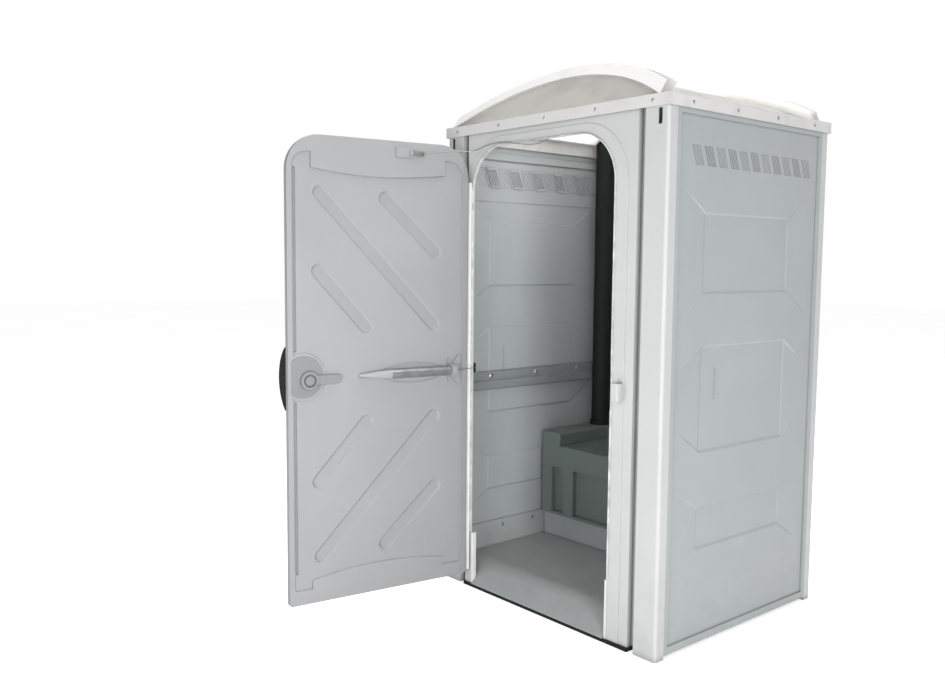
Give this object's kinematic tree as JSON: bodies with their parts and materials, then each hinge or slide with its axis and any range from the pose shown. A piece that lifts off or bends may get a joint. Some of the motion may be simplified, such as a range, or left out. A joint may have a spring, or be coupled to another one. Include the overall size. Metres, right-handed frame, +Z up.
{
  "type": "portable toilet cabin",
  "caption": "Free-standing grey plastic toilet cabin with an arched roof, ribbed hinged door, spring closer, turning latch, side vents, waste tank, lifting seat and lid, and a vent pipe.",
  "frame": {"origin": "centre of the base's underside, on the ground", "axes": "+Z up; -Y towards the front, where the doorway is; +X to the right seen from the front"},
  "size_m": [1.3223, 1.9746, 2.3149],
  "materials": {
    "wall_plastic": "satin",
    "door_plastic": "satin",
    "light_plastic": "satin",
    "white_plastic": "satin",
    "roof_plastic": "translucent satin",
    "floor_plastic": "satin",
    "tank_plastic": "satin",
    "dark_plastic": "satin",
    "seal_rubber": "matt",
    "grey_rubber": "matt",
    "rail_plastic": "satin",
    "plate_plastic": "satin",
    "tube_metal": "satin",
    "steel": "satin",
    "paper": "matt"
  },
  "bodies": {
    "cabin": {"base_frame": "dark_plastic", "floor_pan": "floor_plastic", "pan_rivets": "steel", "left_wall": "wall_plastic", "right_wall": "wall_plastic", "rear_wall": "wall_plastic", "front_post_left": "light_plastic", "front_post_right": "light_plastic", "rear_post_left": "light_plastic", "rear_post_right": "light_plastic", "left_rail": "rail_plastic", "right_rail": "rail_plastic", "rail_bolts": "steel", "door_frame": "light_plastic", "door_seal": "grey_rubber", "jamb_foot_left": "white_plastic", "jamb_foot_right": "white_plastic", "roof_shell": "roof_plastic", "roof_rivets": "steel", "vent_pipe": "dark_plastic", "pipe_collar": "seal_rubber", "pipe_cap": "dark_plastic", "pipe_foot": "dark_plastic", "waste_tank": "tank_plastic", "seat_bracket": "dark_plastic", "seat_hinge_bar": "dark_plastic", "paper_bracket": "light_plastic", "paper_spindle": "light_plastic", "hinge_jamb_leaf": "white_plastic", "hinge_pin": "white_plastic", "hinge_screws": "steel", "bolt_keeper": "light_plastic", "closer_anchor": "dark_plastic", "closer_cable": "steel", "limiter_eye": "steel", "limiter_wire": "steel"},
    "door": {"door_inner_skin": "door_plastic", "door_outer_skin": "door_plastic", "hinge_door_leaf": "white_plastic", "latch_plate": "plate_plastic", "bolt_guide": "light_plastic", "indicator_plate": "dark_plastic", "bow_handle": "dark_plastic", "closer_tube": "tube_metal", "closer_end_cap": "dark_plastic", "closer_bracket": "door_plastic", "closer_nose": "door_plastic", "closer_spring": "steel", "limiter_plate": "door_plastic", "limiter_clip": "steel"},
    "latch_turn": {"latch_knob": "plate_plastic", "indicator_disc": "light_plastic"},
    "bolt": {"latch_bolt": "light_plastic"},
    "plunger": {"closer_plunger": "dark_plastic"},
    "seat": {"seat_ring": "dark_plastic"},
    "lid": {"seat_lid": "dark_plastic"},
    "roll_front": {"paper_roll_front": "paper"},
    "roll_rear": {"paper_roll_rear": "paper"}
  },
  "joints": [
    {"name": "door_hinge", "type": "hinge", "parent": "cabin", "child": "door", "pos_m": [-0.461, -0.555, 1], "axis": [0, 0, 1], "range_deg": [0, 98], "deforming": ["closer_cable", "limiter_wire"]},
    {"name": "latch_turn", "type": "hinge", "parent": "door", "child": "latch_turn", "pos_m": [-0.56956, -1.32741, 1.011], "axis": [0.9903, -0.1392, 0], "range_deg": [0, 90]},
    {"name": "bolt_slide", "type": "slide", "parent": "door", "child": "bolt", "axis": [-0.1392, -0.9903, 0], "range_m": [0, 0.02265]},
    {"name": "plunger_slide", "type": "slide", "parent": "door", "child": "plunger", "axis": [-0.1392, -0.9903, 0], "range_m": [0, 0.0221], "deforming": ["closer_spring"]},
    {"name": "seat_hinge", "type": "hinge", "parent": "cabin", "child": "seat", "pos_m": [0, 0.478, 0.606], "axis": [-1, 0, 0], "range_deg": [0, 84]},
    {"name": "lid_hinge", "type": "hinge", "parent": "cabin", "child": "lid", "pos_m": [0, 0.478, 0.606], "axis": [-1, 0, 0], "range_deg": [-94, 0]},
    {"name": "roll_front_spin", "type": "hinge", "parent": "cabin", "child": "roll_front", "pos_m": [0.552, -0.126, 0.665], "axis": [0, 1, 0], "continuous": true},
    {"name": "roll_rear_spin", "type": "hinge", "parent": "cabin", "child": "roll_rear", "pos_m": [0.552, -0.018, 0.665], "axis": [0, 1, 0], "continuous": true}
  ],
  "couplings": [
    {"joint": "bolt_slide", "follows": "latch_turn", "m_per_rad": 0.0144},
    {"joint": "plunger_slide", "follows": "door_hinge", "m_per_rad": 0.01286}
  ]
}
